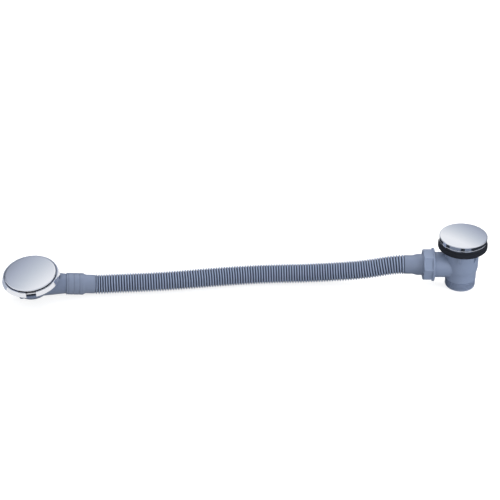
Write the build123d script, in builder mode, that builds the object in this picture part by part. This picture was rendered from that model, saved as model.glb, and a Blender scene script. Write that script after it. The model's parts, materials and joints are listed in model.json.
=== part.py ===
from build123d import *
from math import cos, radians, sin
import os

# A press-plug bath waste joined by a corrugated hose to its overflow, in millimetres.
# +Z is up, the origin is the centre of the outlet's bottom face, the hose leaves the
# waste towards -X, and the overflow lies face up at the hose's far end.

# Waste body and its outlet
outlet_radius = 23.9
outlet_thread_length = 15.0
outlet_bore = 20.4
outlet_neck_radius = 24.3
outlet_shoulder = 25.5
body_radius = 26.4
body_full_height = 35.5
body_height = 68.8
body_flange_radius = 31.5
body_flange_thickness = 2.6
rib_count = 6
rib_first_angle = 15.0
rib_thickness = 4.2
rib_height = 14.0
rib_reach = 4.6
rib_foot = 0.4

# Side inlet, with its axis along -X
inlet_height = 36.7
inlet_neck_radius = 20.2
inlet_thread_radius = 20.95
inlet_thread_length = 10.5
inlet_length = 54.2
inlet_bore = 15.5

# Union nut on the side inlet, with one of its flats turned towards the viewer
nut_length = 17.8
nut_sides = 8
nut_across_flats = 48.4
nut_turn = 31.9
nut_chamfer = 1.8
nut_collar_radius = 26.4
nut_collar_length = 3.0
nut_collar_chamfer = 0.6
nut_lip = 2.0
thread_gap = 0.05
lip_gap = 0.35

# Rubber rings between the body, the bath and the chrome flange
washer_radius = 38.9
washer_thickness = 8.9
washer_chamfer = 2.4
gasket_radius = 37.8
gasket_thickness = 3.2
gasket_slope = 1.2
bath_hole_radius = 26.5
inlet_washer_thickness = 2.5

# Chrome waste flange with its strainer
flange_radius = 37.1
flange_thickness = 2.5
flange_round = 0.8
bowl_radius = 26.2
bowl_depth = 10.5
seat_mouth_radius = 26.6
seat_radius = 22.4
seat_depth = 6.0
tail_radius = 23.2
tail_length = 12.0
tail_wall = 2.0
strainer_drop = 8.4
strainer_thickness = 4.0
strainer_hub_radius = 11.0
strainer_arm_count = 4
strainer_arm_width = 4.5

# Press mechanism on the waste's axis
barrel_radius = 8.0
barrel_bore = 5.9
barrel_below = 12.0
barrel_above = 6.0
barrel_floor = 2.0
barrel_drain = 1.4
barrel_nut_radius = 11.0
barrel_nut_height = 2.4
barrel_cap_height = 2.0
barrel_cap_spigot = 3.0
stem_radius = 3.5
stem_gap = 0.06
stem_thread_radius = 3.0
stem_thread_length = 9.0
stem_collar_thickness = 2.4
stem_collar_gap = 0.3
stem_guide_radius = 2.6
stem_guide_length = 5.0
stem_nut_width = 10.0
stem_nut_height = 3.0
plug_travel = 9.0
spring_wire = 0.8
spring_turns = 4
spring_side_gap = 0.35

# Press plug
cap_radius = 37.75
cap_gap = 0.7
cap_skirt = 6.2
cap_dome = 1.9
cap_wall = 2.0
cap_round = 0.8
cap_hub_radius = 22.0
cap_boss_radius = 6.5
cap_recess_radius = 15.5
cap_lip_radius = 20.0
seal_inner_radius = 19.0
seal_height = 3.0
seal_above_lip = 1.0
seal_seat_gap = 0.35
cap_hub_depth = 5.3

# Hose: plain socket ends moulded in one piece with the corrugated run
hose_radius = 15.5
hose_groove_radius = 13.5
hose_bore = 12.4
hose_corrugations = 118
neck_radius = 14.8
cuff_radius = 16.8
cuff_flange_radius = 20.3
cuff_flange = 2.5
cuff_length = 10.8
cuff_taper = 8.0
cuff_neck = 12.8
socket_radius = 17.15
socket_length = 26.0
socket_taper = 4.4
socket_neck = 15.0
socket_stop = 3.0
socket_line_spacing = 8.7
socket_line_width = 1.0
socket_line_depth = 0.45
socket_gap = 0.1

# Overflow elbow, on a frame whose origin is the centre of the cover's face
overflow_reach = 677.0
overflow_side = 42.5
overflow_height = 48.5
face_centre = Vector(-overflow_reach, -overflow_side, overflow_height)
face_normal = Vector(-0.066, -0.179, 0.982).normalized()
spigot_depth = 22.0
socket_reach = 79.4
socket_side = 14.2
socket_fall = 30.1
socket_point = face_centre + Vector(socket_reach, socket_side, -socket_fall)
spigot_radius = 15.5
elbow_flange_radius = 38.3
elbow_flange_thickness = 3.6
elbow_wall = 2.6
bowl_outer_radius = 30.0
bowl_outer_depth = 39.8
bowl_floor_radius = 26.5
bowl_round = 16.0
funnel_radius = 22.0
funnel_length = 53.0
boss_radius = 4.6
boss_length = 5.0
screw_circle = 32.0
screw_radius = 2.1
screw_length = 14.0
screw_head_radius = 4.2
screw_head_height = 2.2
screw_slot_width = 1.1
screw_slot_depth = 1.1
seal_ring_radius = 0.85
seal_ring_inset = 8.0
seal_groove_width = 1.9

# Overflow gasket, ring and face disc
overflow_gasket_radius = 36.0
overflow_gasket_thickness = 4.0
ring_base_radius = 45.6
ring_flare = 2.4
ring_opening = 25.0
ring_depth = 10.8
ring_top_depth = 3.2
ring_wall = 1.4
ring_web = 2.2
notch_angle = -90.0
notch_width = 15.5
notch_inner_radius = 37.5
disc_gap = 1.6
disc_dome = 0.8
disc_wall = 1.5
disc_skirt = 4.4
disc_round = 1.3
clip_count = 4
clip_circle = 36.5
clip_width = 7.0
clip_thickness = 1.6

# Heights that follow from the stack
washer_top = body_height + washer_thickness
gasket_top = washer_top + gasket_thickness
flange_top = gasket_top + flange_thickness
cap_bottom = flange_top + cap_gap
cap_edge = cap_bottom + cap_skirt
bowl_bottom = gasket_top - bowl_depth
strainer_height = bowl_bottom - strainer_drop
tail_bottom = bowl_bottom - tail_length
tail_bore = tail_radius - tail_wall
strainer_top = strainer_height + strainer_thickness
hub_bottom = cap_bottom - cap_hub_depth
barrel_bottom = strainer_height - barrel_below
barrel_top = strainer_top + barrel_above
collar_top = barrel_top - barrel_cap_spigot - plug_travel - 0.2
collar_bottom = collar_top - stem_collar_thickness
spring_bottom = barrel_bottom + barrel_floor
hose_start = inlet_length + inlet_washer_thickness

# Radii that follow in the overflow's cover
ring_top_radius = ring_base_radius - ring_flare
disc_radius = ring_top_radius - ring_wall - disc_gap

# Working planes and axes
waste_section = Plane.XZ
inlet_section = Plane(origin=(0, 0, inlet_height), x_dir=(-1, 0, 0), z_dir=(0, 1, 0))
inlet_axis = Axis((0, 0, inlet_height), (-1, 0, 0))

spigot_root = face_centre - face_normal * spigot_depth
spigot_direction = (socket_point - spigot_root).normalized()
spigot_in_face = spigot_direction - face_normal * spigot_direction.dot(face_normal)
head = Plane(origin=face_centre, x_dir=spigot_in_face, z_dir=face_normal)
head_section = Plane(origin=face_centre, x_dir=head.x_dir, z_dir=-head.y_dir)
head_axis = Axis(face_centre, face_normal)
spigot_plane = Plane(origin=spigot_root, x_dir=head.y_dir, z_dir=spigot_direction)
spigot_section = Plane(origin=spigot_root, x_dir=spigot_direction, z_dir=head.y_dir)
spigot_axis = Axis(spigot_root, spigot_direction)

# Along the spigot's axis, measured from its root
socket_end = (socket_point - spigot_root).length + socket_taper
socket_mouth = socket_end - socket_taper - socket_length
spigot_end = socket_end - socket_taper - socket_stop
neck_end = socket_end + socket_neck

os.makedirs("parts", exist_ok=True)


def upright(angle):
    """A vertical plane through the waste's axis, its x direction at this angle from +X."""
    turn = radians(angle)
    return Plane(
        origin=(0, 0, 0), x_dir=(cos(turn), sin(turn), 0), z_dir=(sin(turn), -cos(turn), 0)
    )


def seat_line(height):
    """Radius of the flange's conical seat at this height."""
    slope = (seat_mouth_radius - seat_radius) / seat_depth
    return seat_radius + slope * (height - flange_top + seat_depth)


# Waste body: threaded outlet, flared barrel, ribbed flange and side inlet in one moulding
with BuildPart() as waste_body:
    with BuildSketch(waste_section):
        with BuildLine():
            Polyline(
                (0, 0),
                (outlet_radius, 0),
                (outlet_radius, outlet_thread_length),
                (outlet_neck_radius, outlet_thread_length),
                (outlet_neck_radius, outlet_shoulder),
                (body_radius, body_full_height),
                (body_radius, body_height - body_flange_thickness),
                (body_flange_radius, body_height - body_flange_thickness),
                (body_flange_radius, body_height),
                (0, body_height),
                close=True,
            )
        make_face()
    revolve(axis=Axis.Z)
    with BuildSketch(inlet_section):
        with BuildLine():
            Polyline(
                (0, 0),
                (0, inlet_neck_radius),
                (inlet_length - inlet_thread_length, inlet_neck_radius),
                (inlet_length - inlet_thread_length, inlet_thread_radius),
                (inlet_length, inlet_thread_radius),
                (inlet_length, 0),
                close=True,
            )
        make_face()
    revolve(axis=inlet_axis)
    for index in range(rib_count):
        with BuildSketch(upright(rib_first_angle + index * 360 / rib_count)):
            with BuildLine():
                rib_top = body_height - body_flange_thickness
                Polyline(
                    (body_radius - 1, rib_top - rib_height),
                    (body_radius + rib_foot, rib_top - rib_height),
                    (body_radius + rib_reach, rib_top - 2),
                    (body_radius + rib_reach, rib_top + 1),
                    (body_radius - 1, rib_top + 1),
                    close=True,
                )
            make_face()
        extrude(amount=rib_thickness / 2, both=True)
    with BuildSketch(waste_section):
        with BuildLine():
            Polyline(
                (0, 0),
                (outlet_bore, 0),
                (outlet_bore, outlet_shoulder),
                (tail_bore, body_full_height),
                (tail_bore, tail_bottom),
                (tail_radius + thread_gap, tail_bottom),
                (tail_radius + thread_gap, body_height),
                (0, body_height),
                close=True,
            )
        make_face()
    revolve(axis=Axis.Z, mode=Mode.SUBTRACT)
    with BuildSketch(Plane(origin=(0, 0, inlet_height), z_dir=(-1, 0, 0))):
        Circle(inlet_bore)
    extrude(amount=inlet_length, mode=Mode.SUBTRACT)
waste_body.part.label = "waste_body"
export_step(waste_body.part, "parts/waste_body.step")

# Thick rubber washer under the bath, with its lower outer edge cut back
with BuildPart() as bath_washer:
    with BuildSketch(waste_section):
        with BuildLine():
            Polyline(
                (bath_hole_radius, body_height),
                (washer_radius - washer_chamfer, body_height),
                (washer_radius, body_height + washer_chamfer),
                (washer_radius, washer_top - 0.8),
                (washer_radius - 0.8, washer_top),
                (bath_hole_radius, washer_top),
                close=True,
            )
        make_face()
    revolve(axis=Axis.Z)
bath_washer.part.label = "bath_washer"
export_step(bath_washer.part, "parts/bath_washer.step")

# Thin rubber gasket between the bath and the chrome flange
with BuildPart() as flange_gasket:
    with BuildSketch(waste_section):
        with BuildLine():
            Polyline(
                (bath_hole_radius, washer_top),
                (gasket_radius, washer_top),
                (gasket_radius, gasket_top - gasket_slope),
                (gasket_radius - gasket_slope, gasket_top),
                (bath_hole_radius, gasket_top),
                close=True,
            )
        make_face()
    revolve(axis=Axis.Z)
flange_gasket.part.label = "flange_gasket"
export_step(flange_gasket.part, "parts/flange_gasket.step")

# Chrome flange: rim, conical seat, threaded tail and a strainer with a hub
with BuildPart() as waste_flange:
    with BuildSketch(waste_section):
        with BuildLine():
            Polyline(
                (tail_bore, tail_bottom),
                (tail_radius, tail_bottom),
                (tail_radius, bowl_bottom),
                (bowl_radius, gasket_top - 3.5),
                (bowl_radius, gasket_top),
                (flange_radius, gasket_top),
                (flange_radius, flange_top),
                (seat_mouth_radius, flange_top),
                (seat_radius, flange_top - seat_depth),
                (tail_bore, bowl_bottom),
                close=True,
            )
        make_face()
    revolve(axis=Axis.Z)
    rim_edges = waste_flange.edges().filter_by(GeomType.CIRCLE).filter_by(
        lambda edge: abs(edge.radius - flange_radius) < 0.01
    )
    fillet(rim_edges, radius=flange_round)
    with BuildSketch(Plane.XY.offset(strainer_height)):
        Circle(strainer_hub_radius)
        with PolarLocations(0, strainer_arm_count, start_angle=45):
            Rectangle(tail_bore + 0.5, strainer_arm_width, align=(Align.MIN, Align.CENTER))
        Circle(barrel_radius, mode=Mode.SUBTRACT)
    extrude(amount=strainer_thickness)
waste_flange.part.label = "waste_flange"
export_step(waste_flange.part, "parts/waste_flange.step")

# Barrel of the press mechanism: screwed through the strainer's hub, hexagon above it
with BuildPart() as cartridge_body:
    with BuildSketch(Plane.XY.offset(barrel_bottom)):
        Circle(barrel_radius)
    extrude(amount=barrel_top - barrel_bottom)
    with BuildSketch(Plane.XY.offset(strainer_top)):
        RegularPolygon(radius=barrel_nut_radius, side_count=6)
    extrude(amount=barrel_nut_height)
    with BuildSketch(Plane.XY.offset(spring_bottom)):
        Circle(barrel_bore)
    extrude(amount=barrel_top - spring_bottom, mode=Mode.SUBTRACT)
    with BuildSketch(Plane.XY.offset(barrel_bottom)):
        Circle(barrel_drain)
    extrude(amount=barrel_floor, mode=Mode.SUBTRACT)
cartridge_body.part.label = "cartridge_body"
export_step(cartridge_body.part, "parts/cartridge_body.step")

# Screwed ring that closes the barrel and guides the stem
with BuildPart() as cartridge_cap:
    with BuildSketch(Plane.XY.offset(barrel_top)):
        Circle(barrel_radius)
    extrude(amount=barrel_cap_height)
    with BuildSketch(Plane.XY.offset(barrel_top - barrel_cap_spigot)):
        Circle(barrel_bore)
    extrude(amount=barrel_cap_spigot)
    with BuildSketch(Plane.XY.offset(barrel_top - barrel_cap_spigot)):
        Circle(stem_radius + stem_gap)
    extrude(amount=barrel_cap_spigot + barrel_cap_height, mode=Mode.SUBTRACT)
    chamfer(cartridge_cap.edges().group_by(Axis.Z)[-1].sort_by(SortBy.RADIUS)[-1], length=0.5)
cartridge_cap.part.label = "cartridge_cap"
export_step(cartridge_cap.part, "parts/cartridge_cap.step")

# Stem: guide pin, collar over the spring, running shaft and the thread in the plug
with BuildPart() as plug_stem:
    with BuildSketch(waste_section):
        with BuildLine():
            Polyline(
                (0, collar_bottom - stem_guide_length),
                (stem_guide_radius, collar_bottom - stem_guide_length),
                (stem_guide_radius, collar_bottom),
                (barrel_bore - stem_collar_gap, collar_bottom),
                (barrel_bore - stem_collar_gap, collar_top),
                (stem_radius, collar_top),
                (stem_radius, hub_bottom - stem_nut_height),
                (stem_thread_radius, hub_bottom - stem_nut_height),
                (stem_thread_radius, hub_bottom + stem_thread_length - 1),
                (stem_thread_radius - 1, hub_bottom + stem_thread_length),
                (0, hub_bottom + stem_thread_length),
                close=True,
            )
        make_face()
    revolve(axis=Axis.Z)
plug_stem.part.label = "plug_stem"
export_step(plug_stem.part, "parts/plug_stem.step")

# Lock nut that holds the plug on the stem's thread
with BuildPart() as stem_nut:
    with BuildSketch(Plane.XY.offset(hub_bottom - stem_nut_height)):
        RegularPolygon(radius=stem_nut_width / 2, side_count=6, major_radius=False)
        Circle(stem_thread_radius, mode=Mode.SUBTRACT)
    extrude(amount=stem_nut_height)
stem_nut.part.label = "stem_nut"
export_step(stem_nut.part, "parts/stem_nut.step")

# Compression spring under the stem's collar, with flat ground ends
with BuildPart() as cartridge_spring:
    spring_height = collar_bottom - spring_bottom
    coil_radius = barrel_bore - spring_side_gap - spring_wire / 2
    coil_height = spring_height - spring_wire
    with BuildLine():
        Helix(
            pitch=coil_height / spring_turns,
            height=coil_height,
            radius=coil_radius,
            center=(0, 0, spring_bottom + spring_wire / 2),
        )
    with BuildSketch(Plane(origin=(coil_radius, 0, spring_bottom + spring_wire / 2), z_dir=(0, 1, 0))):
        Circle(spring_wire / 2)
    sweep(is_frenet=True)
cartridge_spring.part.label = "cartridge_spring"
export_step(cartridge_spring.part, "parts/cartridge_spring.step")

# Chromed plug: domed disc with a skirt, and a hub that holds the seal and the stem
with BuildPart() as plug_cap:
    with BuildSketch(waste_section):
        with BuildLine():
            outer = Polyline(
                (0, hub_bottom),
                (cap_boss_radius, hub_bottom),
                (cap_boss_radius, cap_edge - cap_wall),
                (cap_recess_radius, cap_edge - cap_wall),
                (cap_recess_radius, hub_bottom),
                (cap_lip_radius, hub_bottom),
                (cap_lip_radius, hub_bottom + seal_above_lip),
                (seal_inner_radius, hub_bottom + seal_above_lip),
                (seal_inner_radius, hub_bottom + seal_above_lip + seal_height),
                (cap_hub_radius, hub_bottom + seal_above_lip + seal_height),
                (cap_hub_radius, cap_edge - cap_wall),
                (cap_radius - cap_wall, cap_edge - cap_wall),
                (cap_radius - cap_wall, cap_bottom),
                (cap_radius, cap_bottom),
                (cap_radius, cap_edge),
            )
            dome = ThreePointArc(
                (cap_radius, cap_edge),
                (cap_radius / 2, cap_edge + cap_dome * 0.75),
                (0, cap_edge + cap_dome),
            )
            Line(dome @ 1, outer @ 0)
        make_face()
    revolve(axis=Axis.Z)
    rim_edge = plug_cap.edges().filter_by(GeomType.CIRCLE).filter_by(
        lambda edge: abs(edge.radius - cap_radius) < 0.01 and edge.center().Z > cap_edge - 0.01
    )
    fillet(rim_edge, radius=cap_round)
    with BuildSketch(Plane.XY.offset(hub_bottom)):
        Circle(stem_thread_radius)
    extrude(amount=stem_thread_length, mode=Mode.SUBTRACT)
plug_cap.part.label = "plug_cap"
export_step(plug_cap.part, "parts/plug_cap.step")

# Tapered rubber seal in the groove of the plug's hub, just clear of the seat
with BuildPart() as plug_seal:
    seal_bottom = hub_bottom + seal_above_lip
    seal_top = seal_bottom + seal_height
    with BuildSketch(waste_section):
        with BuildLine():
            Polyline(
                (seal_inner_radius, seal_bottom),
                (seat_line(seal_bottom) - seal_seat_gap, seal_bottom),
                (seat_line(seal_top) - seal_seat_gap, seal_top),
                (seal_inner_radius, seal_top),
                close=True,
            )
        make_face()
    revolve(axis=Axis.Z)
plug_seal.part.label = "plug_seal"
export_step(plug_seal.part, "parts/plug_seal.step")

# Union nut: eight flats, a round collar towards the waste, thread inside and a lip
nut_end = hose_start + cuff_flange + nut_lip
nut_start = nut_end - nut_length
nut_corner_radius = nut_across_flats / 2 / cos(radians(180 / nut_sides))
nut_face = Plane(origin=(-nut_start, 0, inlet_height), x_dir=(0, -1, 0), z_dir=(-1, 0, 0))
with BuildPart() as inlet_nut:
    with BuildSketch(nut_face):
        RegularPolygon(
            radius=nut_across_flats / 2,
            side_count=nut_sides,
            major_radius=False,
            rotation=nut_turn - 180 / nut_sides,
        )
    extrude(amount=nut_length)
    with BuildSketch(inlet_section):
        with BuildLine():
            Polyline(
                (nut_start, 0),
                (nut_start, nut_collar_radius - nut_collar_chamfer),
                (nut_start + nut_collar_chamfer, nut_collar_radius),
                (nut_start + nut_collar_length, nut_collar_radius),
                (nut_start + nut_collar_length, 0),
                close=True,
            )
        make_face()
    revolve(axis=inlet_axis)
    with BuildSketch(inlet_section):
        with BuildLine():
            Polyline(
                (nut_end - nut_chamfer, nut_corner_radius),
                (nut_end, nut_across_flats / 2 - nut_chamfer / 2),
                (nut_end, nut_corner_radius + nut_chamfer),
                (nut_end - nut_chamfer, nut_corner_radius + nut_chamfer),
                close=True,
            )
        make_face()
    revolve(axis=inlet_axis, mode=Mode.SUBTRACT)
    with BuildSketch(inlet_section):
        with BuildLine():
            Polyline(
                (nut_start, 0),
                (nut_start, inlet_thread_radius + thread_gap),
                (nut_end - nut_lip, inlet_thread_radius + thread_gap),
                (nut_end - nut_lip, cuff_radius + lip_gap),
                (nut_end, cuff_radius + lip_gap),
                (nut_end, 0),
                close=True,
            )
        make_face()
    revolve(axis=inlet_axis, mode=Mode.SUBTRACT)
inlet_nut.part.label = "inlet_nut"
export_step(inlet_nut.part, "parts/inlet_nut.step")

# Flat washer between the inlet's end and the hose's flange
with BuildPart() as inlet_washer:
    with BuildSketch(Plane(origin=(-inlet_length, 0, inlet_height), z_dir=(-1, 0, 0))):
        Circle(cuff_flange_radius)
        Circle(inlet_bore, mode=Mode.SUBTRACT)
    extrude(amount=inlet_washer_thickness)
inlet_washer.part.label = "inlet_washer"
export_step(inlet_washer.part, "parts/inlet_washer.step")

# Hose route: straight out of the waste's cuff, down to the floor, along it in a long
# bend, and straight into the neck of the overflow's socket. Each point is a share of the
# way in X, a share of the overflow's side step in Y, and a share of the inlet's height
# above the lying hose.
corrugated_start = hose_start + cuff_flange + cuff_length + cuff_taper + cuff_neck
corrugated_end = spigot_root + spigot_direction * neck_end
floor_height = hose_radius + 0.15
route_shares = [
    (0.108, -0.012, 0.62),
    (0.215, -0.082, 0.27),
    (0.327, -0.130, 0.065),
    (0.443, -0.106, 0.010),
    (0.560, 0.024, 0.0),
    (0.662, 0.190, 0.0),
    (0.769, 0.366, 0.0),
    (0.882, 0.500, 0.016),
    (0.943, 0.556, 0.016),
]
route_points = [
    (
        -corrugated_start + (corrugated_end.X + corrugated_start) * along,
        -overflow_side * aside,
        floor_height + (inlet_height - floor_height) * above,
    )
    for along, aside, above in route_shares
]
with BuildLine() as hose_route:
    Spline(
        (-corrugated_start, 0, inlet_height),
        *route_points,
        corrugated_end,
        tangents=[(-1, 0, 0), -spigot_direction],
    )
route = hose_route.wires()[0]


def route_plane(share):
    """Plane square to the hose's route at this share of its length."""
    direction = route % share
    return Plane(
        origin=route @ share, x_dir=Vector(0, 0, 1).cross(direction), z_dir=direction
    )


# Hose: cuff with a flange at the waste, corrugated run, neck and socket at the overflow
with BuildPart() as overflow_hose:
    steps = 2 * hose_corrugations
    for step in range(steps + 1):
        with BuildSketch(route_plane(step / steps)):
            Circle(hose_radius if step % 2 else hose_groove_radius)
    loft(ruled=True)
    cuff_top = hose_start + cuff_flange + cuff_length
    with BuildSketch(inlet_section):
        with BuildLine():
            Polyline(
                (hose_start, 0),
                (hose_start, cuff_flange_radius),
                (hose_start + cuff_flange, cuff_flange_radius),
                (hose_start + cuff_flange, cuff_radius),
                (cuff_top, cuff_radius),
                (cuff_top + cuff_taper, neck_radius),
                (corrugated_start, neck_radius),
                (corrugated_start, 0),
                close=True,
            )
        make_face()
    revolve(axis=inlet_axis)
    with BuildSketch(spigot_section):
        with BuildLine():
            Polyline(
                (socket_mouth, 0),
                (socket_mouth, socket_radius),
                (socket_end - socket_taper, socket_radius),
                (socket_end, neck_radius),
                (neck_end, neck_radius),
                (neck_end, 0),
                close=True,
            )
        make_face()
    revolve(axis=spigot_axis)
    for line_index in range(3):
        with BuildSketch(spigot_plane.offset(socket_mouth + 2.2 + line_index * socket_line_spacing)):
            Circle(socket_radius + 1)
            Circle(socket_radius - socket_line_depth, mode=Mode.SUBTRACT)
        extrude(amount=socket_line_width, mode=Mode.SUBTRACT)
    with BuildSketch(spigot_plane.offset(socket_mouth)):
        Circle(spigot_radius + socket_gap)
    extrude(amount=spigot_end - socket_mouth, mode=Mode.SUBTRACT)
    with BuildSketch(Plane(origin=(-hose_start, 0, inlet_height), z_dir=(-1, 0, 0))):
        Circle(hose_bore)
    extrude(amount=corrugated_start - hose_start, mode=Mode.SUBTRACT)
    with BuildSketch(spigot_plane.offset(spigot_end)):
        Circle(hose_bore)
    extrude(amount=neck_end - spigot_end, mode=Mode.SUBTRACT)
    bore_steps = hose_corrugations // 3
    for step in range(bore_steps + 1):
        with BuildSketch(route_plane(step / bore_steps)):
            Circle(hose_bore)
    loft(ruled=True, mode=Mode.SUBTRACT)
overflow_hose.part.label = "overflow_hose"
export_step(overflow_hose.part, "parts/overflow_hose.step")

# Depths below the face of the overflow's stack
gasket_back = -ring_depth - overflow_gasket_thickness
flange_back = gasket_back - elbow_flange_thickness
web_top = -ring_depth + ring_web
screw_sides = (60, -120)


def elbow_form(inset):
    """Bowl, funnel and spigot of the elbow, drawn in from the outside by this much."""
    with BuildPart() as form:
        with BuildSketch(head_section):
            with BuildLine():
                Polyline(
                    (0, gasket_back),
                    (bowl_outer_radius - inset, gasket_back),
                    (bowl_outer_radius - inset, flange_back),
                    (bowl_floor_radius - inset, -bowl_outer_depth + inset),
                    (0, -bowl_outer_depth + inset),
                    close=True,
                )
            make_face()
        revolve(axis=head_axis)
        floor_edge = form.edges().filter_by(GeomType.CIRCLE).sort_by(head_axis)[0]
        fillet(floor_edge, radius=bowl_round - inset)
        with BuildSketch(spigot_plane):
            Circle(funnel_radius - inset)
        with BuildSketch(spigot_plane.offset(funnel_length)):
            Circle(spigot_radius - inset)
        loft()
        with BuildSketch(spigot_plane.offset(funnel_length)):
            Circle(spigot_radius - inset)
        extrude(amount=spigot_end - funnel_length)
    return form.part


# Elbow: flange against the gasket, round bowl, and a funnel that narrows to the spigot
with BuildPart() as overflow_elbow:
    add(elbow_form(0))
    with BuildSketch(head.offset(flange_back)):
        Circle(elbow_flange_radius)
    extrude(amount=elbow_flange_thickness)
    for side in screw_sides:
        with BuildSketch(head.offset(flange_back)):
            with PolarLocations(screw_circle, 1, start_angle=side):
                Circle(boss_radius)
        extrude(amount=-boss_length)
    add(elbow_form(elbow_wall), mode=Mode.SUBTRACT)
    with BuildSketch(head.offset(gasket_back)):
        Circle(elbow_flange_radius * 2)
    extrude(amount=ring_depth * 2, mode=Mode.SUBTRACT)
    for side in screw_sides:
        with BuildSketch(head.offset(gasket_back)):
            with PolarLocations(screw_circle, 1, start_angle=side):
                Circle(screw_radius)
        extrude(amount=-screw_length, mode=Mode.SUBTRACT)
    with BuildSketch(spigot_plane.offset(spigot_end - seal_ring_inset - seal_groove_width / 2)):
        Circle(spigot_radius + 1)
        Circle(spigot_radius + socket_gap - 2 * seal_ring_radius, mode=Mode.SUBTRACT)
    extrude(amount=seal_groove_width, mode=Mode.SUBTRACT)
overflow_elbow.part.label = "overflow_elbow"
export_step(overflow_elbow.part, "parts/overflow_elbow.step")

# Rubber ring in the spigot's groove, pressed by the hose's socket
with BuildPart() as elbow_seal:
    with BuildSketch(spigot_section):
        with Locations((spigot_end - seal_ring_inset, spigot_radius + socket_gap - seal_ring_radius)):
            Circle(seal_ring_radius)
    revolve(axis=spigot_axis)
elbow_seal.part.label = "elbow_seal"
export_step(elbow_seal.part, "parts/elbow_seal.step")

# Gasket between the elbow and the bath, with holes for the two screws
with BuildPart() as overflow_gasket:
    with BuildSketch(head.offset(gasket_back)):
        Circle(overflow_gasket_radius)
        Circle(bowl_outer_radius - elbow_wall, mode=Mode.SUBTRACT)
        with PolarLocations(screw_circle, 2, start_angle=screw_sides[0]):
            Circle(screw_radius, mode=Mode.SUBTRACT)
    extrude(amount=overflow_gasket_thickness)
overflow_gasket.part.label = "overflow_gasket"
export_step(overflow_gasket.part, "parts/overflow_gasket.step")

# Chromed ring: flared wall, web held by the screws, and a notch that lets the water in
with BuildPart() as overflow_ring:
    with BuildSketch(head_section):
        with BuildLine():
            Polyline(
                (ring_opening, -ring_depth),
                (ring_base_radius, -ring_depth),
                (ring_top_radius, -ring_top_depth),
                (ring_top_radius - ring_wall, -ring_top_depth),
                (ring_top_radius - ring_wall + ring_flare / 2, web_top),
                (ring_opening, web_top),
                close=True,
            )
        make_face()
    revolve(axis=head_axis)
    with BuildSketch(head.offset(-ring_depth)):
        with PolarLocations(notch_inner_radius, 1, start_angle=notch_angle):
            Rectangle(ring_base_radius, notch_width, align=(Align.MIN, Align.CENTER))
    extrude(amount=ring_depth, mode=Mode.SUBTRACT)
    with BuildSketch(head.offset(-ring_depth)):
        with PolarLocations(screw_circle, 2, start_angle=screw_sides[0]):
            Circle(screw_radius)
    extrude(amount=ring_depth, mode=Mode.SUBTRACT)
overflow_ring.part.label = "overflow_ring"
export_step(overflow_ring.part, "parts/overflow_ring.step")

# Two slotted pan-head screws through the ring and the gasket into the elbow's bosses
with BuildPart() as ring_screws:
    with BuildSketch(head.offset(web_top)):
        with PolarLocations(screw_circle, 2, start_angle=screw_sides[0]):
            Circle(screw_head_radius)
    extrude(amount=screw_head_height)
    with BuildSketch(head.offset(web_top)):
        with PolarLocations(screw_circle, 2, start_angle=screw_sides[0]):
            Circle(screw_radius)
    extrude(amount=-screw_length)
    with BuildSketch(head.offset(web_top + screw_head_height - screw_slot_depth)):
        with PolarLocations(screw_circle, 2, start_angle=screw_sides[0]):
            Rectangle(screw_head_radius * 3, screw_slot_width)
    extrude(amount=screw_slot_depth, mode=Mode.SUBTRACT)
ring_screws.part.label = "ring_screws"
export_step(ring_screws.part, "parts/ring_screws.step")

# Chromed face disc: slightly domed, with a short skirt and clip legs on the ring's web
with BuildPart() as overflow_disc:
    with BuildSketch(head_section):
        with BuildLine():
            skirt = Polyline(
                (0, -disc_wall - disc_dome),
                (disc_radius - disc_wall, -disc_wall - disc_dome),
                (disc_radius - disc_wall, -disc_skirt),
                (disc_radius, -disc_skirt),
                (disc_radius, -disc_dome),
            )
            face = ThreePointArc(
                (disc_radius, -disc_dome), (disc_radius / 2, -disc_dome * 0.25), (0, 0)
            )
            Line(face @ 1, skirt @ 0)
        make_face()
    revolve(axis=head_axis)
    face_edge = overflow_disc.edges().filter_by(GeomType.CIRCLE).filter_by(
        lambda edge: abs(edge.radius - disc_radius) < 0.01
    )
    fillet(face_edge.sort_by(head_axis)[-1], radius=disc_round)
    with BuildSketch(head.offset(web_top)):
        with PolarLocations(clip_circle, clip_count, start_angle=45):
            Rectangle(clip_thickness, clip_width)
    extrude(amount=-web_top - disc_wall - disc_dome / 2)
overflow_disc.part.label = "overflow_disc"
export_step(overflow_disc.part, "parts/overflow_disc.step")
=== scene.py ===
import bmesh
import bpy
import json
import numpy as np
from math import atan2, cos, hypot, pi, radians, sin, tanh
from mathutils import Matrix, Vector


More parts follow.
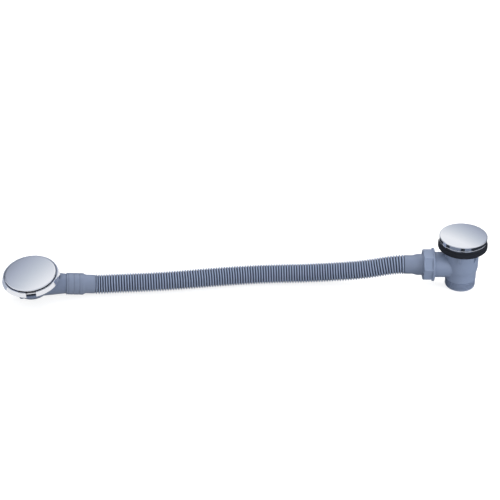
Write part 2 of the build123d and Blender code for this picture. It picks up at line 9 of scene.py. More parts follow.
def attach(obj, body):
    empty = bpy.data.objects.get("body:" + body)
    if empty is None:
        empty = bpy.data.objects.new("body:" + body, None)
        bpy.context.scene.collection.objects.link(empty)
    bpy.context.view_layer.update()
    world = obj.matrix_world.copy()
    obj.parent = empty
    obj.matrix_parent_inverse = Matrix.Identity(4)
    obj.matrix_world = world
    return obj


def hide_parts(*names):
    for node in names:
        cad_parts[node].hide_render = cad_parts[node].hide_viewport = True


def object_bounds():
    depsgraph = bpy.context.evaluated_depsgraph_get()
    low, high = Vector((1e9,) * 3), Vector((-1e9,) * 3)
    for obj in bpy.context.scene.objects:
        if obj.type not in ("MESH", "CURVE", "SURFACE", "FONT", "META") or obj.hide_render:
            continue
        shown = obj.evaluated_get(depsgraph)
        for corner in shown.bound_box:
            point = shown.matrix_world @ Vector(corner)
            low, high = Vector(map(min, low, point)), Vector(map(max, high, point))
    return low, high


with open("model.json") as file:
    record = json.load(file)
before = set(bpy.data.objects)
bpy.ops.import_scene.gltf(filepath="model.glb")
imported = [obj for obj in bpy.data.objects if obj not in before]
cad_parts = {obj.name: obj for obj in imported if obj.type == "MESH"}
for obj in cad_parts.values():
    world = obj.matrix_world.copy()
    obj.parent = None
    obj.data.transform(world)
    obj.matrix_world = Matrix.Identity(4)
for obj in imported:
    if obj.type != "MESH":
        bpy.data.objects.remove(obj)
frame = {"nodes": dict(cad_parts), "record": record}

# The frame's size before anything is added
MM = 0.001
size_before = [list(corner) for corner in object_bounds()]

# Camera: fitted to the photograph, a little above the part and square to the hose
picture_width_px = 500
focal_px = 1650
camera_elevation = radians(31.91)
camera_distance = 2632 * MM
camera_aim = Vector((-334.4, 28.5, 45.8)) * MM

camera_data = bpy.data.cameras.new("camera")
camera_data.sensor_width = 36
camera_data.lens = 36 * focal_px / picture_width_px
camera = bpy.data.objects.new("camera", camera_data)
bpy.context.scene.collection.objects.link(camera)
back = Vector((0, -cos(camera_elevation), sin(camera_elevation)))
camera.location = camera_aim + back * camera_distance
camera.rotation_euler = (pi / 2 - camera_elevation, 0, 0)
bpy.context.scene.camera = camera
bpy.context.scene.view_settings.view_transform = "Standard"


# Node helpers for the world and the materials
def new_node(tree, kind, **values):
    node = tree.nodes.new(kind)
    for name, value in values.items():
        setattr(node, name, value)
    return node


def join(tree, source, output, target, entry):
    tree.links.new(source.outputs[output], target.inputs[entry])


# World: white to the camera, a soft grey sky for the light itself, and for what the polished
# metal shows a sky that darkens towards the horizon and a little overhead
sky_light = 0.75
sky_tones = [
    (0.00, (0.300, 0.340, 0.420)), (0.30, (0.560, 0.600, 0.690)), (0.60, (0.970, 0.985, 1.000)),
    (1.00, (0.600, 0.640, 0.730))]
world = bpy.data.worlds.new("world")
bpy.context.scene.world = world
world.use_nodes = True
tree = world.node_tree
tree.nodes.clear()


def toned_ramp(tree, tones):
    """A colour ramp with these positions and tones."""
    ramp = new_node(tree, "ShaderNodeValToRGB")
    for _ in range(len(tones) - 2):
        ramp.color_ramp.elements.new(0.5)
    for element, (position, colour) in zip(ramp.color_ramp.elements, tones):
        element.position = position
        element.color = (*colour, 1)
    return ramp


ray = new_node(tree, "ShaderNodeLightPath")
seen = new_node(tree, "ShaderNodeMath", operation="ADD", use_clamp=True)
join(tree, ray, "Is Camera Ray", seen, 0)
join(tree, ray, "Is Transmission Ray", seen, 1)
lighting = new_node(tree, "ShaderNodeBackground")
lighting.inputs["Color"].default_value = (0.97, 0.985, 1.0, 1)
lighting.inputs["Strength"].default_value = sky_light
backdrop = new_node(tree, "ShaderNodeBackground")
backdrop.inputs["Color"].default_value = (1, 1, 1, 1)
direction = new_node(tree, "ShaderNodeTexCoord")
split = new_node(tree, "ShaderNodeSeparateXYZ")
sky_ramp = toned_ramp(tree, sky_tones)
mirrored_sky = new_node(tree, "ShaderNodeBackground")
join(tree, direction, "Generated", split, 0)
join(tree, split, "Z", sky_ramp, "Fac")
join(tree, sky_ramp, "Color", mirrored_sky, "Color")
seen_choice = new_node(tree, "ShaderNodeMixShader")
mirror_choice = new_node(tree, "ShaderNodeMixShader")
world_output = new_node(tree, "ShaderNodeOutputWorld")
join(tree, seen, 0, seen_choice, 0)
join(tree, lighting, 0, seen_choice, 1)
join(tree, backdrop, 0, seen_choice, 2)
join(tree, ray, "Is Glossy Ray", mirror_choice, 0)
join(tree, seen_choice, 0, mirror_choice, 1)
join(tree, mirrored_sky, 0, mirror_choice, 2)
join(tree, mirror_choice, 0, world_output, 0)


# Lights: a broad panel overhead and a little behind, a weak low one in front and one from
# the right. The polished metal shows the cards below instead of them.
light_aim = Vector((-0.33, 0, 0.04))


def panel(name, place, width, depth, power):
    data = bpy.data.lights.new(name, "AREA")
    data.shape = "RECTANGLE"
    data.size = width
    data.size_y = depth
    data.energy = power
    light = bpy.data.objects.new(name, data)
    light.location = place
    light.rotation_euler = (light_aim - Vector(place)).to_track_quat("-Z", "Y").to_euler()
    light.visible_glossy = False
    bpy.context.scene.collection.objects.link(light)


panel("panel_top", (-0.30, 0.75, 1.75), 1.7, 1.0, 22)
panel("panel_front", (-0.33, -2.3, 0.55), 1.6, 0.4, 13)
panel("panel_right", (1.7, -1.2, 0.9), 0.7, 0.9, 27)


# Floor: white, with the part's own soft shadow kept
floor_tone = 0.45
floor_seen_glow = 0.75
floor_mirrored_glow = 0.36
floor_half = 12.0
floor_drop = 0.0002


def bare_material(name):
    """A new material with an empty node tree."""
    material = bpy.data.materials.new(name)
    material.use_nodes = True
    material.node_tree.nodes.clear()
    return material


def add_object(name, bm, material):
    """A new object in the scene from this mesh."""
    mesh = bpy.data.meshes.new(name)
    bm.to_mesh(mesh)
    bm.free()
    mesh.materials.append(material)
    piece = bpy.data.objects.new(name, mesh)
    bpy.context.scene.collection.objects.link(piece)
    return piece


floor_material = bare_material("floor")
tree = floor_material.node_tree
floor_colour = new_node(tree, "ShaderNodeBsdfDiffuse")
floor_colour.inputs["Color"].default_value = (floor_tone, floor_tone, floor_tone, 1)
floor_glow = new_node(tree, "ShaderNodeEmission")
ray = new_node(tree, "ShaderNodeLightPath")
mirrored_glow = new_node(tree, "ShaderNodeMath", operation="MULTIPLY")
mirrored_glow.inputs[1].default_value = floor_mirrored_glow
glow_strength = new_node(tree, "ShaderNodeMath", operation="MULTIPLY_ADD")
glow_strength.inputs[1].default_value = floor_seen_glow
floor_sum = new_node(tree, "ShaderNodeAddShader")
floor_output = new_node(tree, "ShaderNodeOutputMaterial")
join(tree, ray, "Is Glossy Ray", mirrored_glow, 0)
join(tree, ray, "Is Camera Ray", glow_strength, 0)
join(tree, mirrored_glow, 0, glow_strength, 2)
join(tree, glow_strength, 0, floor_glow, "Strength")
join(tree, floor_colour, 0, floor_sum, 0)
join(tree, floor_glow, 0, floor_sum, 1)
join(tree, floor_sum, 0, floor_output, 0)
bm = bmesh.new()
bmesh.ops.create_grid(bm, x_segments=1, y_segments=1, size=floor_half)
floor = add_object("floor", bm, floor_material)
floor.location.z = size_before[0][2] - floor_drop


# Cards for the reflections, which the camera doesn't see: a tall grey one behind, brightest
# in its middle and towards its top, and dark and grey ones that lie on the floor
def card(name, middle, width, height, tilt, material):
    bm = bmesh.new()
    bmesh.ops.create_grid(bm, x_segments=1, y_segments=1, size=0.5)
    bmesh.ops.scale(bm, vec=(width, height, 1), verts=bm.verts)
    bmesh.ops.transform(
        bm, matrix=Matrix.Translation(middle) @ Matrix.Rotation(tilt, 4, "X"), verts=bm.verts)
    piece = add_object(name, bm, material)
    piece.visible_camera = False
    piece.visible_diffuse = False
    piece.visible_transmission = False
    piece.visible_volume_scatter = False
    piece.visible_shadow = False


def glow_material(name, tone):
    """A material that only glows, in this tone."""
    material = bare_material(name)
    tree = material.node_tree
    glow = new_node(tree, "ShaderNodeEmission")
    glow.inputs["Color"].default_value = (*tone, 1)
    join(tree, glow, 0, new_node(tree, "ShaderNodeOutputMaterial"), 0)
    return material


# The back card's brightness: its base on the floor under its brightest line, the rise with
# height, the fall to both sides of that line, and its limits
card_distance = 2.5
card_width = 9.0
card_height = 6.0
card_ridge = 0.02
card_base = 0.30
card_rise = 0.44
card_fall = 0.67
card_darkest = 0.28
card_brightest = 1.0
back_card = glow_material("back_card", (1, 1, 1))
tree = back_card.node_tree
place = new_node(tree, "ShaderNodeTexCoord")
split = new_node(tree, "ShaderNodeSeparateXYZ")
from_ridge = new_node(tree, "ShaderNodeMath", operation="SUBTRACT")
from_ridge.inputs[1].default_value = card_ridge
aside = new_node(tree, "ShaderNodeMath", operation="ABSOLUTE")
fall = new_node(tree, "ShaderNodeMath", operation="MULTIPLY_ADD")
fall.inputs[1].default_value = -card_fall
fall.inputs[2].default_value = card_base
rise = new_node(tree, "ShaderNodeMath", operation="MULTIPLY_ADD")
rise.inputs[1].default_value = card_rise
limited = new_node(tree, "ShaderNodeClamp")
limited.inputs["Min"].default_value = card_darkest
limited.inputs["Max"].default_value = card_brightest
join(tree, place, "Object", split, 0)
join(tree, split, "X", from_ridge, 0)
join(tree, from_ridge, 0, aside, 0)
join(tree, aside, 0, fall, 0)
join(tree, split, "Z", rise, 0)
join(tree, fall, 0, rise, 2)
join(tree, rise, 0, limited, "Value")
# Its tone turns from blue-grey where it is dark to white where it is bright
card_tones = [
    (0.28, (0.246, 0.272, 0.325)), (0.50, (0.450, 0.490, 0.585)), (0.70, (0.630, 0.675, 0.740)),
    (1.00, (0.970, 0.985, 1.000))]
card_ramp = toned_ramp(tree, card_tones)
join(tree, limited, 0, card_ramp, "Fac")
join(tree, card_ramp, "Color", tree.nodes["Emission"], "Color")
card("back_card", (0, card_distance, card_height / 2), card_width, card_height, pi / 2, back_card)

# Cards on the floor, with the middle and the size in X and Y, the height and the tone, and
# two low dark ones along the horizon, with the middle and the width in X
dark_tone = (0.030, 0.035, 0.045)
grey_tone = (0.200, 0.235, 0.310)
pale_tone = (0.480, 0.520, 0.610)
floor_cards = [
    ("round_card", (0.02, -0.10), (0.56, 0.44), 0.003, grey_tone),
    ("front_card", (-0.02, -0.18), (0.05, 0.12), 0.004, dark_tone),
    ("front_right_card", (0.11, -0.14), (0.05, 0.10), 0.004, dark_tone),
    ("left_card", (-0.16, 0.05), (0.16, 0.24), 0.004, dark_tone),
    ("right_card", (0.17, 0.01), (0.14, 0.32), 0.004, dark_tone),
    ("rear_right_card", (0.50, 1.20), (0.95, 1.90), 0.004, dark_tone),
    ("rear_left_card", (-1.45, 1.00), (1.30, 1.70), 0.004, dark_tone),
    ("far_left_card", (-0.93, 0.18), (0.37, 0.46), 0.003, pale_tone)]
for name, (x, y), (width, depth), height, tone in floor_cards:
    card(name, (x, y, height), width, depth, 0, glow_material(name, tone))
horizon_cards = [("horizon_right", 2.3, 4.4), ("horizon_left", -2.9, 3.4)]
horizon_height = 0.6
horizon_distance = card_distance - 0.05
for name, x, width in horizon_cards:
    card(name, (x, horizon_distance, horizon_height / 2), width, horizon_height, pi / 2,
         glow_material(name, dark_tone))


# Waste body: one injection moulding in grey-blue plastic, with a threaded outlet below, a
# side inlet and ribs under its flange. Its edges are as round as a mould leaves them.
weld_distance = 0.002
body_edge_round = 0.35
outlet_bore = 20.4
outlet_neck_radius = 24.3
thread_top = 15.0
thread_root = 23.1
thread_crest = 23.88
thread_pitch = 2.309
thread_crest_width = 0.55
thread_root_width = 0.45
thread_first = 0.7
thread_turns = 5
thread_steps = 96
thread_runout = 0.7
thread_sunk = 0.1
outlet_chamfer = 0.6

plastic_colour = (0.192, 0.236, 0.340)


def shaded(name, roughness, metallic=0.0, specular=0.5):
    """A new material, with the values that are the same all over its surface."""
    material = bpy.data.materials.new(name)
    material.use_nodes = True
    shader = material.node_tree.nodes["Principled BSDF"]
    shader.inputs["Roughness"].default_value = roughness
    shader.inputs["Metallic"].default_value = metallic
    shader.inputs["Specular IOR Level"].default_value = specular
    return material


def add_mottle(material, colour, spread, scale):
    """Slow changes of tone over the piece, this far to both sides of the colour."""
    tree = material.node_tree
    place = new_node(tree, "ShaderNodeTexCoord")
    noise = new_node(tree, "ShaderNodeTexNoise")
    noise.inputs["Scale"].default_value = scale
    noise.inputs["Detail"].default_value = 3
    ramp = new_node(tree, "ShaderNodeValToRGB")
    ramp.color_ramp.elements[0].position = 0.3
    ramp.color_ramp.elements[1].position = 0.7
    ramp.color_ramp.elements[0].color = (*[part * (1 - spread) for part in colour], 1)
    ramp.color_ramp.elements[1].color = (*[part * (1 + spread) for part in colour], 1)
    join(tree, place, "Object", noise, "Vector")
    join(tree, noise, "Fac", ramp, "Fac")
    join(tree, ramp, "Color", tree.nodes["Principled BSDF"], "Base Color")
    return ramp


def add_grain(material, scale, distance, strength=0.2):
    """Fine unevenness of the surface, as a bump on object coordinates."""
    tree = material.node_tree
    place = new_node(tree, "ShaderNodeTexCoord")
    noise = new_node(tree, "ShaderNodeTexNoise")
    noise.inputs["Scale"].default_value = scale
    bump = new_node(tree, "ShaderNodeBump")
    bump.inputs["Strength"].default_value = strength
    bump.inputs["Distance"].default_value = distance * MM
    join(tree, place, "Object", noise, "Vector")
    join(tree, noise, "Fac", bump, "Height")
    join(tree, bump, "Normal", tree.nodes["Principled BSDF"], "Normal")


def welded_copy(node):
    """A CAD node's mesh as one connected surface, with its flat faces whole."""
    bm = bmesh.new()
    bm.from_mesh(frame["nodes"][node].data)
    bmesh.ops.remove_doubles(bm, verts=bm.verts, dist=weld_distance * MM)
    bmesh.ops.dissolve_limit(
        bm, angle_limit=radians(0.4), verts=bm.verts, edges=bm.edges, use_dissolve_boundaries=False)
    return bm


def round_edges(bm, width, corner=38):
    """Rounds the edges whose faces turn by more than this many degrees."""
    sharp = [
        edge for edge in bm.edges
        if edge.is_manifold and edge.calc_face_angle(0) > radians(corner)]
    bmesh.ops.bevel(
        bm, geom=sharp, offset=width * MM, offset_type="OFFSET", segments=3, profile=0.5,
        affect="EDGES", clamp_overlap=True, loop_slide=True, material=-1)


def set_piece(bm, name, material, slot, body, *nodes):
    """Makes the mesh a piece of the object, in place of these CAD nodes."""
    for face in bm.faces:
        face.smooth = True
    piece = add_object(name, bm, material)
    piece.modifiers.new("even_normals", "WEIGHTED_NORMAL")
    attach(piece, body)
    if nodes:
        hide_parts(*nodes)
    return piece


def draw_rings(bm, loop, rings):
    """Extrudes a loop of edges about Z through these rings of radius and height."""
    for radius, height in rings:
        made = bmesh.ops.extrude_edge_only(bm, edges=loop)["geom"]
        corners = {item for item in made if isinstance(item, bmesh.types.BMVert)}
        loop = [
            item for item in made
            if isinstance(item, bmesh.types.BMEdge) and set(item.verts) <= corners]
        for vert in corners:
            turn = atan2(vert.co.y, vert.co.x)
            vert.co = Vector((radius * cos(turn), radius * sin(turn), height)) * MM
    return loop


def boundary_at(bm, radius):
    """The open edges on a circle of this radius about Z."""
    return [
        edge for edge in bm.edges
        if edge.is_boundary and all(
            abs(hypot(vert.co.x, vert.co.y) - radius * MM) < 0.05 * MM for vert in edge.verts)]


plastic = shaded("plastic", 0.36, specular=0.42)
add_mottle(plastic, plastic_colour, 0.035, 22)
add_grain(plastic, 900, 0.2)

bm = welded_copy("waste_body")
plain_band = [
    face for face in bm.faces
    if all(vert.co.z < (thread_top + 0.05) * MM for vert in face.verts)
    and (face.normal.z < -0.9 or hypot(*face.calc_center_median().xy) > thread_crest * 0.98 * MM)]
bmesh.ops.delete(bm, geom=plain_band, context="FACES")
sleeve_end = draw_rings(
    bm, boundary_at(bm, outlet_neck_radius),
    [(thread_root, thread_top - thread_runout), (thread_root, outlet_chamfer),
     (thread_root - outlet_chamfer, 0)])
bmesh.ops.bridge_loops(bm, edges=sleeve_end + boundary_at(bm, outlet_bore))
bmesh.ops.recalc_face_normals(bm, faces=bm.faces)
round_edges(bm, body_edge_round)
thread_base = thread_pitch - thread_root_width
thread_outline = [
    (thread_root - thread_sunk, 0),
    (thread_root - thread_sunk, thread_base),
    (thread_crest, (thread_base + thread_crest_width) / 2),
    (thread_crest, (thread_base - thread_crest_width) / 2)]
start = [bm.verts.new((radius * MM, 0, (thread_first + height) * MM))
         for radius, height in thread_outline]
start_face = bm.faces.new(start)
ridge = bmesh.ops.spin(
    bm, geom=[*start, *start_face.edges, start_face], cent=(0, 0, 0), axis=(0, 0, 1),
    dvec=(0, 0, thread_pitch / thread_steps * MM), angle=2 * pi * thread_turns,
    steps=thread_steps * thread_turns)["geom_last"]
for vert in start + [item for item in ridge if isinstance(item, bmesh.types.BMVert)]:
    vert.co.xy *= thread_root * MM / max(hypot(*vert.co.xy), thread_root * MM)
set_piece(bm, "waste_moulding", plastic, "plastic", "waste", "waste_body")


# Rubber rings: the thick washer under the bath and the thin gasket under the chrome flange,
# both pressed from black rubber, and the seals of the plug, the inlet and the elbow.
washer_outline = [(26.5, 68.8), (36.5, 68.8), (38.9, 71.2), (38.9, 76.9), (38.1, 77.7), (26.5, 77.7)]
gasket_outline = [(26.5, 77.7), (37.8, 77.7), (37.8, 79.7), (36.6, 80.9), (26.5, 80.9)]
rubber_edge_round = 0.5
rubber_colour = (0.0130, 0.0150, 0.0210)


def turned(outline, steps=144):
    """A ring or disc of revolution about Z, from its outline of radius and height."""
    bm = bmesh.new()
    corners = [bm.verts.new((radius * MM, 0, height * MM)) for radius, height in outline]
    sides = [
        bm.edges.new((corner, other)) for corner, other in zip(corners, corners[1:] + corners[:1])
        if corner.co.x > 0 or other.co.x > 0]
    bmesh.ops.spin(
        bm, geom=corners + sides, cent=(0, 0, 0), axis=(0, 0, 1), angle=2 * pi, steps=steps,
        use_merge=True)
    bmesh.ops.remove_doubles(bm, verts=bm.verts, dist=weld_distance * MM)
    bmesh.ops.recalc_face_normals(bm, faces=bm.faces)
    return bm


rubber = shaded("rubber", 0.62, specular=0.16)
add_mottle(rubber, rubber_colour, 0.12, 60)
add_grain(rubber, 1400, 0.2, 0.3)

for name, outline, node in (
        ("thick_washer", washer_outline, "bath_washer"),
        ("thin_gasket", gasket_outline, "flange_gasket")):
    bm = turned(outline)
    round_edges(bm, rubber_edge_round, 25)
    set_piece(bm, name, rubber, "rubber", "waste", node)


# Chrome waste flange: cast brass, turned and plated, its rim and seat polished, with the
# strainer's arms and hub inside and a thread on its tail.
flange_edge_round = 0.3
chrome_colour = (0.83, 0.84, 0.88)

chrome = shaded("chrome", 0.05, metallic=1.0)
add_mottle(chrome, chrome_colour, 0.008, 9)

bm = welded_copy("waste_flange")
round_edges(bm, flange_edge_round)
set_piece(bm, "chrome_flange", chrome, "chrome", "waste", "waste_flange")


# Press plug: a domed chrome disc with a skirt, turned from one blank, and a hub below that
# holds the seal and the stem.
cap_radius = 37.75
cap_bottom = 84.1
cap_edge = 90.3
cap_dome = 1.9
cap_wall = 2.0
cap_rim_round = 1.1
cap_edge_round = 0.3
dome_rings = 14
hub_bottom = 78.8
hub_outline = [
    (0, 87.8), (3.0, 87.8), (3.0, hub_bottom), (6.5, hub_bottom), (6.5, cap_edge - cap_wall),
    (15.5, cap_edge - cap_wall), (15.5, hub_bottom), (20.0, hub_bottom), (20.0, 79.8),
    (19.0, 79.8), (19.0, 82.8), (22.0, 82.8), (22.0, cap_edge - cap_wall),
    (cap_radius - cap_wall, cap_edge - cap_wall), (cap_radius - cap_wall, cap_bottom),
    (cap_radius, cap_bottom)]


def dome(radius, edge_height, rise):
    """Rings of a shallow dome, from its edge to its middle."""
    return [
        (radius * share, edge_height + rise * (1 - share * share))
        for share in (1 - step / dome_rings for step in range(dome_rings + 1))]


def circle_edges(bm, radius, height):
    """The edges of a turned piece on the circle of this radius and height."""
    return [
        edge for edge in bm.edges
        if all(abs(hypot(vert.co.x, vert.co.y) - radius * MM) < 1e-6
               and abs(vert.co.z - height * MM) < 1e-6 for vert in edge.verts)]


def round_circle(bm, radius, height, width):
    bmesh.ops.bevel(
        bm, geom=circle_edges(bm, radius, height), offset=width * MM, offset_type="OFFSET",
        segments=5, profile=0.5, affect="EDGES", clamp_overlap=True, material=-1)


bm = turned(hub_outline + dome(cap_radius, cap_edge, cap_dome), 192)
round_circle(bm, cap_radius, cap_edge, cap_rim_round)
round_circle(bm, cap_radius, cap_bottom, cap_edge_round)
set_piece(bm, "plug_disc", chrome, "chrome", "plug", "plug_cap")


# Union nut: moulded in the body's plastic, with eight flats and a round collar.
nut_edge_round = 0.5

bm = welded_copy("inlet_nut")
round_edges(bm, nut_edge_round, 30)
set_piece(bm, "union_nut", plastic, "plastic", "waste", "inlet_nut")


# Hose: blow-moulded in one piece, with a flanged cuff that the nut holds, round-crested
# corrugations, and a socket with three ring lines that slides over the elbow's spigot.
inlet_height = 36.7
hose_start = 56.7
cuff_flange_radius = 20.3
cuff_radius = 16.8
neck_radius = 14.8
cuff_flange = 2.5
cuff_length = 10.8
cuff_taper = 8.0
cuff_neck = 12.8
crest_radius = 15.5
groove_radius = 12.9
bore_radius = 12.1
corrugations = 118
rings_per_corrugation = 10
crest_firmness = 1.6
crest_share = 0.25
socket_neck = 15.0
socket_taper = 4.4
socket_length = 26.0
socket_radius = 17.15
socket_bore = 15.6
socket_stop = 3.0
line_first = 2.2
line_spacing = 8.7
line_width = 1.0
line_depth = 0.5
hose_segments = 44
hose_seam = 0.12
# Share of the painted groove shade given to the plain cuff, neck and socket
plain_shade_share = 0.42
hose_edge_round = 0.3

overflow_side = 42.5
socket_reach = Vector((79.4, 14.2, -30.1))
spigot_depth = 22.0
ring_depth = 10.8
overflow_mount = next(
    mount for mount in frame["record"]["mounts"] if mount["name"] == "overflow_hole")
face_normal = Vector(overflow_mount["axis"]).normalized()
face_centre = Vector(overflow_mount["pos_m"]) / MM + face_normal * ring_depth
spigot_root = face_centre - face_normal * spigot_depth
spigot_direction = (face_centre + socket_reach - spigot_root).normalized()
hose_end = face_centre + socket_reach + spigot_direction * (socket_taper * 2 + socket_neck - socket_taper)

lead_in = cuff_flange + cuff_length + cuff_taper + cuff_neck
lead_out = socket_neck + socket_taper + socket_length
lowest_middle = crest_radius + 0.15
# Each point is a share of the way in X, of the overflow's side step in Y, and of the
# inlet's height above the lying hose
lay_shares = [
    (0.108, -0.012, 0.62), (0.215, -0.082, 0.27), (0.327, -0.130, 0.065), (0.443, -0.106, 0.010),
    (0.560, 0.024, 0.0), (0.662, 0.190, 0.0), (0.769, 0.366, 0.0), (0.882, 0.500, 0.016),
    (0.943, 0.556, 0.016)]
lay_start = Vector((-hose_start - lead_in, 0, inlet_height))
lay = [np.array(lay_start)] + [
    np.array((lay_start.x + (hose_end.x - lay_start.x) * along, -overflow_side * aside_share,
              lowest_middle + (inlet_height - lowest_middle) * above))
    for along, aside_share, above in lay_shares] + [np.array(hose_end)]


def smooth_line(points, first_direction, last_direction, samples):
    """Points along the smooth curve through these points, leaving and ending as given."""
    points = np.array(points)
    spans = np.linalg.norm(np.diff(points, axis=0), axis=1)
    count = len(points)
    system = np.eye(count)
    wanted = np.zeros((count, 3))
    wanted[0], wanted[-1] = first_direction, last_direction
    for index in range(1, count - 1):
        before, after = spans[index - 1], spans[index]
        system[index, index - 1:index + 2] = 1 / before, 2 / before + 2 / after, 1 / after
        wanted[index] = 3 * ((points[index] - points[index - 1]) / before ** 2
                             + (points[index + 1] - points[index]) / after ** 2)
    slopes = np.linalg.solve(system, wanted)
    knots = np.concatenate(([0], np.cumsum(spans)))
    line = []
    for way in np.linspace(0, knots[-1], samples):
        index = min(int(np.searchsorted(knots, way, side="right")) - 1, count - 2)
        span = spans[index]
        t = (way - knots[index]) / span
        line.append((1 + 2 * t) * (1 - t) ** 2 * points[index] + t * t * (3 - 2 * t) * points[index + 1]
                    + span * t * (1 - t) * ((1 - t) * slopes[index] - t * slopes[index + 1]))
    return np.array(line)


line = smooth_line(lay, (-1, 0, 0), -np.array(spigot_direction), 1500)
line_way = np.concatenate(([0], np.cumsum(np.linalg.norm(np.diff(line, axis=0), axis=1))))
run_length = line_way[-1]


def hose_place(way):
    """Place and direction of the hose's middle, this far from its flange."""
    if way <= lead_in:
        return Vector((-hose_start - way, 0, inlet_height)), Vector((-1, 0, 0))
    if way >= lead_in + run_length:
        return hose_end - spigot_direction * (way - lead_in - run_length), -spigot_direction
    here = way - lead_in
    middle = Vector([np.interp(here, line_way, line[:, axis]) for axis in range(3)])
    reach = 1.0
    ahead = Vector([np.interp(here + reach, line_way, line[:, axis]) for axis in range(3)])
    behind = Vector([np.interp(here - reach, line_way, line[:, axis]) for axis in range(3)])
    return middle, (ahead - behind).normalized()


def wave(share):
    """Height of the corrugated wall at this share of one corrugation, from 0 to 1."""
    top = tanh(crest_firmness + crest_share)
    bottom = tanh(-crest_firmness + crest_share)
    return (tanh(-crest_firmness * cos(2 * pi * share) + crest_share) - bottom) / (top - bottom)


neck_at = lead_in + run_length
mouth = neck_at + lead_out
# Rings of the hose: way along it, radius, share of painted groove shade (how far its colour goes to the
# dark groove colour, standing in for shadow), and whether its edge is sharp
rings = [
    (0, cuff_flange_radius, plain_shade_share, True),
    (cuff_flange, cuff_flange_radius, plain_shade_share, True),
    (cuff_flange, cuff_radius, plain_shade_share, False),
    (cuff_flange + cuff_length, cuff_radius, plain_shade_share, False),
    (cuff_flange + cuff_length + cuff_taper, neck_radius, plain_shade_share, False),
    (lead_in - 0.3, neck_radius, plain_shade_share, True)]
steps = corrugations * rings_per_corrugation
for step in range(steps + 1):
    height = wave(step / rings_per_corrugation)
    rings.append((lead_in + run_length * step / steps,
                  groove_radius + (crest_radius - groove_radius) * height, 1 - height, False))
rings += [
    (neck_at + 0.3, neck_radius, plain_shade_share, True),
    (neck_at + socket_neck, neck_radius, plain_shade_share, False),
    (neck_at + socket_neck + socket_taper, socket_radius, plain_shade_share, True)]
for index in (2, 1, 0):
    line_at = mouth - line_first - index * line_spacing
    rings += [
        (line_at - line_width, socket_radius, plain_shade_share, False),
        # The ring lines' bottoms take 0.6 of the painted groove shade
        (line_at - line_width * 0.7, socket_radius - line_depth, 0.6, False),
        (line_at - line_width * 0.3, socket_radius - line_depth, 0.6, False),
        (line_at, socket_radius, plain_shade_share, False)]
rings += [
    (mouth, socket_radius, plain_shade_share, True),
    (mouth, socket_bore, plain_shade_share, True),
    (neck_at + socket_neck + socket_stop, socket_bore, plain_shade_share, False),
    (neck_at + socket_neck + socket_stop, bore_radius, plain_shade_share, False)]
bore_steps = 60
for step in range(bore_steps, -1, -1):
    rings.append((lead_in + run_length * step / bore_steps, bore_radius, 0, False))
rings.append((0, bore_radius, 0, True))

bm = bmesh.new()
groove_shade_layer = bm.verts.layers.float.new("groove")
loop = bmesh.ops.create_circle(bm, segments=hose_segments, radius=1)["verts"]
circle = [vert.co.copy() for vert in loop]
first_loop = None
sharp_edges = []
edges = list(bm.edges)
seam_places = (0, hose_segments // 2)
for way, radius, depth, sharp in rings:
    if first_loop is None:
        first_loop = list(edges)
    else:
        made = bmesh.ops.extrude_edge_only(bm, edges=edges)["geom"]
        fresh = {item for item in made if isinstance(item, bmesh.types.BMVert)}
        old_loop = loop
        loop = [next(edge.other_vert(vert) for edge in vert.link_edges
                     if edge.other_vert(vert) in fresh) for vert in old_loop]
        edges = [
            item for item in made
            if isinstance(item, bmesh.types.BMEdge) and set(item.verts) <= fresh]
    middle, direction = hose_place(way)
    across = Vector((0, 0, 1)).cross(direction).normalized()
    up = direction.cross(across)
    for index, (vert, spoke) in enumerate(zip(loop, circle)):
        seam = hose_seam if index in seam_places and radius > groove_radius - 0.01 else 0
        vert.co = (middle + (across * spoke.x + up * spoke.y) * (radius + seam)) * MM
        vert[groove_shade_layer] = depth
    if sharp:
        sharp_edges += edges
bmesh.ops.bridge_loops(bm, edges=edges + first_loop)
bmesh.ops.recalc_face_normals(bm, faces=bm.faces)
sharp_edges = [edge for edge in sharp_edges if edge.is_valid and edge.is_manifold]
bmesh.ops.bevel(
    bm, geom=sharp_edges, offset=hose_edge_round * MM, offset_type="OFFSET", segments=2,
    profile=0.5, affect="EDGES", clamp_overlap=True, material=-1)

hose_plastic = shaded("hose", 0.40, specular=0.36)
# Painted shade: the colour runs from the crest colour to a dark groove colour by each vertex's groove
# share, standing in for the shadow in the grooves
crest_colour = (0.248, 0.300, 0.424)
groove_shade_colour = (0.030, 0.037, 0.056)
tree = hose_plastic.node_tree
groove_shade_share = new_node(tree, "ShaderNodeAttribute", attribute_name="groove")
ramp = new_node(tree, "ShaderNodeValToRGB")
ramp.color_ramp.elements[0].color = (*crest_colour, 1)
ramp.color_ramp.elements[1].color = (*groove_shade_colour, 1)
join(tree, groove_shade_share, "Fac", ramp, "Fac")
join(tree, ramp, "Color", tree.nodes["Principled BSDF"], "Base Color")
add_grain(hose_plastic, 900, 0.2)
set_piece(bm, "corrugated_hose", hose_plastic, "hose", "waste", "overflow_hose")


# Overflow elbow: injection moulded, with a flange for the bath's outside, a round bowl,
# two bosses for the screws, and a funnel that narrows to the hose's spigot.
elbow_edge_round = 0.4
# Painted shade: the elbow's plastic is a darker copy of the body's plastic, for the shade on its side
# that faces down and away from the lamps
elbow_shaded_colour = (0.132, 0.164, 0.242)

shaded_elbow_plastic = shaded("shaded_elbow_plastic", 0.38, specular=0.40)
add_mottle(shaded_elbow_plastic, elbow_shaded_colour, 0.035, 22)
add_grain(shaded_elbow_plastic, 900, 0.2)

bm = welded_copy("overflow_elbow")
round_edges(bm, elbow_edge_round)
set_piece(bm, "elbow_moulding", shaded_elbow_plastic, "plastic", "waste", "overflow_elbow")


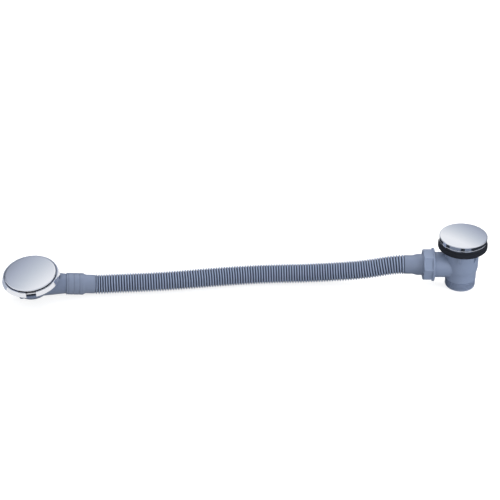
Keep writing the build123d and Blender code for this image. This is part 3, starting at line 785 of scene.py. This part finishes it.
# Chrome ring of the overflow: pressed and plated, with a flared wall and a notch in it
# that lets the water in behind the face. Inside the gap round the face its metal is dull and darker,
# partly as painted shade, and in one sector of the gap both pieces are black: painted shadow in the gap.
ring_edge_round = 0.35
dull_gap_shade_colour = (0.720, 0.760, 0.860)
# Black painted shadow for the gap, between these two angles about the head
gap_shadow_colour = (0.020, 0.023, 0.030)
gap_shadow_from = radians(-118)
gap_shadow_to = radians(-40)
ring_top_depth = 3.0

spigot_in_face = spigot_direction - face_normal * spigot_direction.dot(face_normal)
head_x = spigot_in_face.normalized()
head_y = face_normal.cross(head_x)
head_place = Matrix.Translation(face_centre * MM) @ Matrix(
    (head_x, head_y, face_normal)).transposed().to_4x4()

# Unpolished metal inside the gap, its darker tone partly painted shade
dull_shaded_metal = shaded("unpolished_shaded_metal", 0.45, metallic=1.0)
add_mottle(dull_shaded_metal, dull_gap_shade_colour, 0.10, 70)
gap_shadow_paint = shaded("black_gap_shadow", 0.5, specular=0.2)
add_mottle(gap_shadow_paint, gap_shadow_colour, 0.10, 70)


def in_gap_shadow(place):
    """Whether a place in the head's own frame is in the sector of the gap that is painted black as
    shadow.
    """
    return gap_shadow_from < atan2(place.y, place.x) < gap_shadow_to


bm = welded_copy("overflow_ring")
round_edges(bm, ring_edge_round, 30)
into_head = head_place.inverted()
for face in bm.faces:
    middle = into_head @ face.calc_center_median()
    outwards = Vector((middle.x, middle.y, 0)).normalized()
    facing = into_head.to_3x3() @ face.normal
    inner_wall = facing.dot(outwards) < -0.3
    channel_floor = facing.z > 0.5 and middle.z < -ring_top_depth * MM
    # Inner walls and channel floor take the dull metal, darker partly as painted shade, or the black
    # painted shadow in its sector
    if inner_wall or channel_floor:
        face.material_index = 2 if in_gap_shadow(middle) else 1
ring = set_piece(bm, "chrome_ring", chrome, "chrome", "waste", "overflow_ring")
ring.data.materials.append(dull_shaded_metal)
ring.data.materials.append(gap_shadow_paint)


# Chrome face of the overflow: a shallow dome with a short skirt, held by four clip legs
# that stand on the ring's web.
face_radius = 40.2
face_dome = 0.8
face_wall = 1.5
face_skirt = 4.4
face_round = 1.3
clip_circle = 36.5
clip_thickness = 1.6
clip_width = 7.0
clip_foot = -8.6
face_back = -face_wall - face_dome
face_outline = [
    (0, face_back), (face_radius - face_wall, face_back), (face_radius - face_wall, -face_skirt),
    (face_radius, -face_skirt)]

bm = turned(face_outline + dome(face_radius, -face_dome, face_dome), 192)
round_circle(bm, face_radius, -face_dome, face_round)
round_circle(bm, face_radius, -face_skirt, cap_edge_round)
clip_size = Vector((clip_thickness, clip_width, face_back - clip_foot)) * MM
clip_middle = Vector((clip_circle, 0, (face_back + clip_foot) / 2)) * MM
for quarter in range(4):
    clip = bmesh.ops.create_cube(bm, size=1)["verts"]
    bmesh.ops.scale(bm, vec=clip_size, verts=clip)
    bmesh.ops.translate(bm, vec=clip_middle, verts=clip)
    bmesh.ops.rotate(
        bm, cent=(0, 0, 0), matrix=Matrix.Rotation(pi / 4 + quarter * pi / 2, 3, "Z"), verts=clip)
# Upright faces of the face in that sector are painted black: painted shadow in the gap
for face in bm.faces:
    upright = abs(face.normal.z) < 0.05
    if upright and in_gap_shadow(face.calc_center_median()):
        face.material_index = 1
bmesh.ops.transform(bm, matrix=head_place, verts=bm.verts)
face_disc = set_piece(bm, "overflow_face", chrome, "chrome", "waste", "overflow_disc")
face_disc.data.materials.append(gap_shadow_paint)


# Pieces whose CAD form is kept: the press mechanism in turned brass with its steel spring,
# the screws, and the small seals.
brass = shaded("brass", 0.28, metallic=1.0)
add_mottle(brass, (0.62, 0.46, 0.20), 0.06, 80)
add_grain(brass, 2200, 0.05)
steel = shaded("steel", 0.25, metallic=1.0)
add_mottle(steel, (0.56, 0.57, 0.60), 0.05, 120)
add_grain(steel, 2200, 0.05)

finish_of = {"plastic": plastic, "hose": hose_plastic, "rubber": rubber, "chrome": chrome,
             "brass": brass, "steel": steel}
for subpart in frame["record"]["subparts"]:
    node = frame["nodes"][subpart["node"]]
    node.data.materials.clear()
    node.data.materials.append(finish_of[subpart["material_slot"]])
